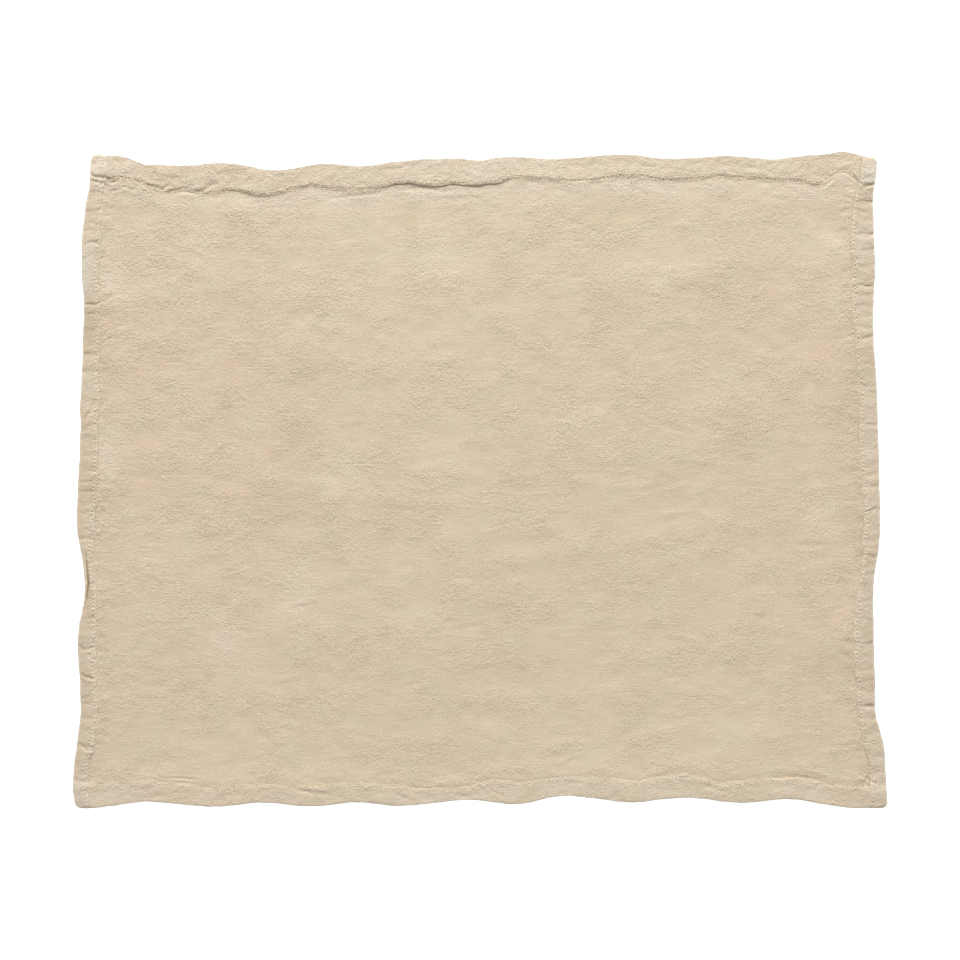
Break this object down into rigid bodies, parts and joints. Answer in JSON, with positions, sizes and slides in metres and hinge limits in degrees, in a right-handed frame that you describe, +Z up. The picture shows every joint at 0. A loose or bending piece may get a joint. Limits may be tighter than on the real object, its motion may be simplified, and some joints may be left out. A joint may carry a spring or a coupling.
{
  "type": "linen placemat",
  "caption": "Rectangular washed-linen placemat with turned, stitched hems, lying flat with gently wavy edges and puckered side hems.",
  "frame": {"origin": "on the table under the middle of the mat", "axes": "+X along the longer sides, +Y towards the back edge, +Z up out of the face"},
  "size_m": [0.5114, 0.4122, 0.004],
  "materials": {
    "linen": "matt washed plain weave in natural sand colour, with matching thread in the hems"
  },
  "bodies": {
    "root": {"placemat_cloth": "linen"}
  },
  "joints": []
}
